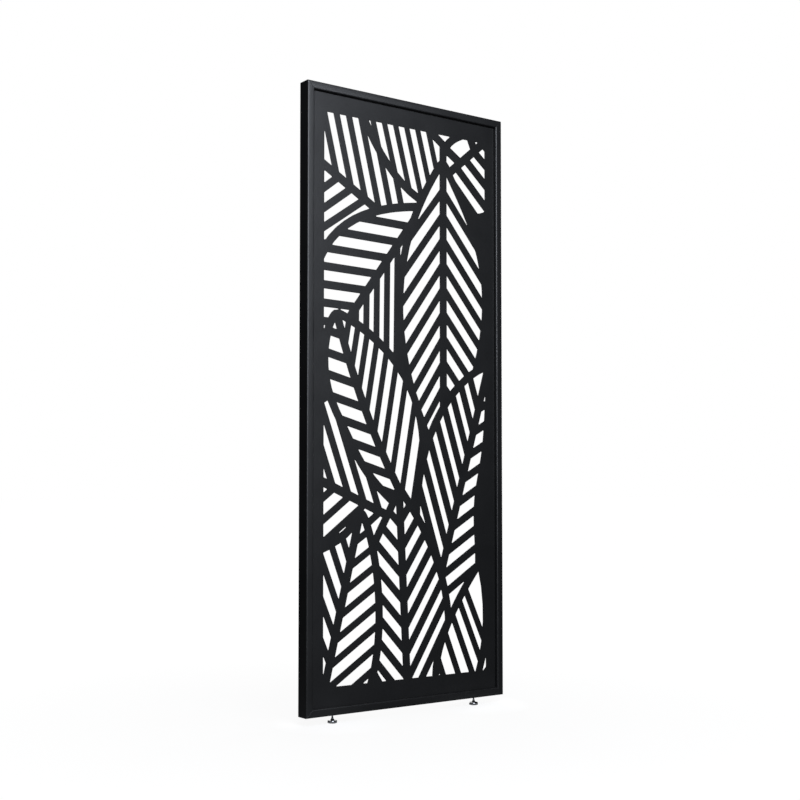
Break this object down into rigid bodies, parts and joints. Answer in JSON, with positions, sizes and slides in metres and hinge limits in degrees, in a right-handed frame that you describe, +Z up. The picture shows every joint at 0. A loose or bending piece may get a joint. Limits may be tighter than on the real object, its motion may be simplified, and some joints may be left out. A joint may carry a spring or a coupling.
{
  "type": "room divider screen",
  "caption": "Free-standing privacy screen: a tall black metal panel with a laser cut leaf pattern, set back in a mitred frame on levelling feet.",
  "frame": {"origin": "on the floor, midway between the two feet and midway through the screen's depth", "axes": "+X to the right as seen from the front, -Y out of the front, +Z up"},
  "size_m": [0.8, 0.05, 2.027],
  "materials": {
    "panel_coat": "satin black powder coat on 3 mm steel sheet",
    "frame_coat": "satin black powder coat",
    "cleat_aluminium": "mill finish, sawn",
    "black_steel": "black oxide",
    "zinc_steel": "bright zinc plate",
    "foot_nickel": "bright nickel plate",
    "foot_rubber": "matt moulded rubber"
  },
  "bodies": {
    "screen": {"laser_cut_panel": "panel_coat", "left_stile": "frame_coat", "right_stile": "frame_coat", "top_rail": "frame_coat", "bottom_rail": "frame_coat", "top_left_cleat": "cleat_aluminium", "top_right_cleat": "cleat_aluminium", "bottom_left_cleat": "cleat_aluminium", "bottom_right_cleat": "cleat_aluminium", "cleat_screws": "black_steel", "panel_studs": "zinc_steel", "panel_nuts": "zinc_steel", "left_bush": "zinc_steel", "right_bush": "zinc_steel"},
    "left_foot": {"left_foot_disc": "foot_nickel", "left_foot_pad": "foot_rubber"},
    "left_screw": {"left_spindle": "foot_nickel"},
    "right_foot": {"right_foot_disc": "foot_nickel", "right_foot_pad": "foot_rubber"},
    "right_screw": {"right_spindle": "foot_nickel"}
  },
  "joints": [
    {"name": "left_foot_slide", "type": "slide", "parent": "screen", "child": "left_foot", "axis": [0, 0, 1], "range_m": [-0.003, 0.009]},
    {"name": "left_foot_turn", "type": "hinge", "parent": "left_foot", "child": "left_screw", "pos_m": [-0.2875, 0, 0], "axis": [0, 0, 1], "range_deg": [-1080, 3240]},
    {"name": "right_foot_slide", "type": "slide", "parent": "screen", "child": "right_foot", "axis": [0, 0, 1], "range_m": [-0.003, 0.009]},
    {"name": "right_foot_turn", "type": "hinge", "parent": "right_foot", "child": "right_screw", "pos_m": [0.2875, 0, 0], "axis": [0, 0, 1], "range_deg": [-1080, 3240]}
  ],
  "couplings": [
    {"joint": "left_foot_turn", "follows": "left_foot_slide", "rad_per_m": 6283.2},
    {"joint": "right_foot_turn", "follows": "right_foot_slide", "rad_per_m": 6283.2}
  ]
}
